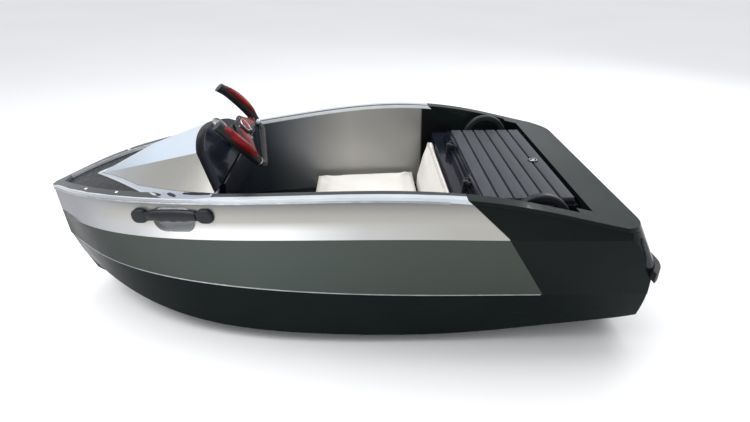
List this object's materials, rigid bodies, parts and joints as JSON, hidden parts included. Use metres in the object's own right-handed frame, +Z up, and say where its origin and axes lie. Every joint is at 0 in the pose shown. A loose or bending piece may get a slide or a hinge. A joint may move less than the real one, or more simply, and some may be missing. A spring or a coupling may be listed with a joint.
{
  "type": "electric jet boat",
  "caption": "Small open electric jet boat with a faceted console, yoke steering wheel, bench seat and a slatted hatch over the drive.",
  "frame": {"origin": "centre of the footprint on the floor under the keel pad", "axes": "+X to the bow, +Y to port, +Z up"},
  "size_m": [2.204, 1.1122, 0.8219],
  "materials": {
    "gelcoat_black": "gloss",
    "gelcoat_silver": "gloss metallic",
    "trim_silver": "satin metallic",
    "deck_dark": "satin",
    "cowl_silver": "gloss metallic",
    "dash_black": "gloss",
    "gauge_face": "gloss",
    "wheel_black": "satin",
    "grip_red": "gloss",
    "mat_dark": "matte",
    "seat_box": "satin",
    "seat_vinyl": "soft satin",
    "slat_grey": "matte",
    "handle_black": "satin",
    "bumper_rubber": "matte",
    "steel": "brushed",
    "jet_alloy": "cast",
    "battery_case": "satin",
    "motor_alloy": "cast"
  },
  "bodies": {
    "hull": {"hull_bottom": "gelcoat_black", "topsides": "gelcoat_silver", "stern_shell": "gelcoat_black", "gunwale_cap": "trim_silver", "stern_deck": "gelcoat_black", "bow_handle_port": "handle_black", "bow_handle_starboard": "handle_black", "foredeck": "deck_dark", "console_deck": "cowl_silver", "console_cowl": "cowl_silver", "dash_panel": "dash_black", "gauge": "gauge_face", "steering_boss": "handle_black", "sole_mat": "mat_dark", "seat_base": "seat_box", "seat_cushion": "seat_vinyl", "back_cushion": "seat_vinyl", "bulkhead": "gelcoat_black", "hatch_deck": "gelcoat_black", "hatch_hinge_port": "steel", "hatch_hinge_starboard": "steel", "stern_handle_port": "handle_black", "stern_handle_starboard": "handle_black", "stern_bumper": "bumper_rubber", "drain_plug": "handle_black", "battery_pack": "battery_case", "motor": "motor_alloy", "jet_housing": "jet_alloy", "intake_grate": "steel"},
    "steering_wheel": {"wheel_rim": "wheel_black", "wheel_grip_port": "grip_red", "wheel_grip_starboard": "grip_red", "wheel_hub": "wheel_black"},
    "hatch": {"hatch_lid": "deck_dark", "hatch_slats": "slat_grey", "hatch_latch": "steel"},
    "rotor": {"impeller": "steel", "drive_shaft": "steel"},
    "nozzle": {"jet_nozzle": "jet_alloy"}
  },
  "joints": [
    {"name": "steering", "type": "hinge", "parent": "hull", "child": "steering_wheel", "pos_m": [0.34, 0, 0.694], "axis": [-0.788, 0, 0.6157], "range_deg": [-176, 144]},
    {"name": "nozzle_steer", "type": "hinge", "parent": "hull", "child": "nozzle", "pos_m": [-1.03, 0, 0.18], "axis": [0, 0, 1], "range_deg": [-22.5, 27.5]},
    {"name": "impeller_spin", "type": "hinge", "parent": "hull", "child": "rotor", "pos_m": [-0.926, 0, 0.18], "axis": [1, 0, 0], "continuous": true},
    {"name": "hatch_hinge", "type": "hinge", "parent": "hull", "child": "hatch", "pos_m": [-0.494, 0, 0.543], "axis": [0, 1, 0], "range_deg": [0, 80]}
  ],
  "couplings": [
    {"joint": "nozzle_steer", "follows": "steering", "ratio": -0.15625}
  ]
}
